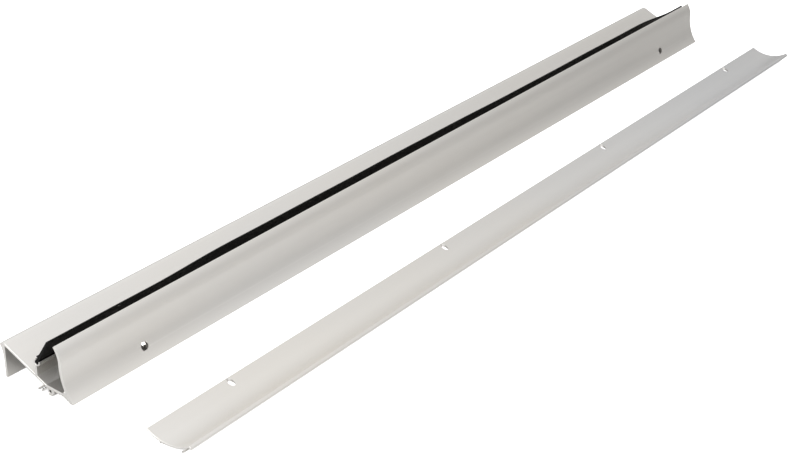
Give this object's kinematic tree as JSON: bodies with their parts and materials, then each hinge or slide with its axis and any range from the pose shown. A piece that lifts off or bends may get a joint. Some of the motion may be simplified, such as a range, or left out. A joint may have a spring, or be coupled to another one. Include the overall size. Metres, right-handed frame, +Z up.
{
  "type": "door threshold weather set",
  "caption": "Aluminium door sill with an ogee front plate, drained channel and rubber flap gasket, laid beside its loose dished rain deflector.",
  "frame": {"origin": "on the floor, at the middle of the footprint of the sill and the deflector laid side by side", "axes": "+X along the door's width, -Y towards the weather side, +Z up"},
  "size_m": [0.914, 0.1706, 0.0403],
  "materials": {
    "sill_aluminium": "satin mill finish with fine die lines along the length",
    "deflector_aluminium": "satin mill finish with fine die lines along the length",
    "gasket_rubber": "matte black elastomer"
  },
  "bodies": {
    "sill": {"sill": "sill_aluminium", "gasket_root": "gasket_rubber"},
    "flap": {"gasket_flap": "gasket_rubber"},
    "deflector": {"rain_deflector": "deflector_aluminium"}
  },
  "joints": [
    {"name": "gasket_flap_bend", "type": "hinge", "parent": "sill", "child": "flap", "pos_m": [0, 0.04735, 0.0265], "axis": [1, 0, 0], "range_deg": [-18, 40], "stiffness_Nm_per_rad": 0.2},
    {"name": "deflector_lift", "type": "slide", "parent": "sill", "child": "deflector", "axis": [0, 0, 1], "range_m": [0, 0.1]}
  ]
}
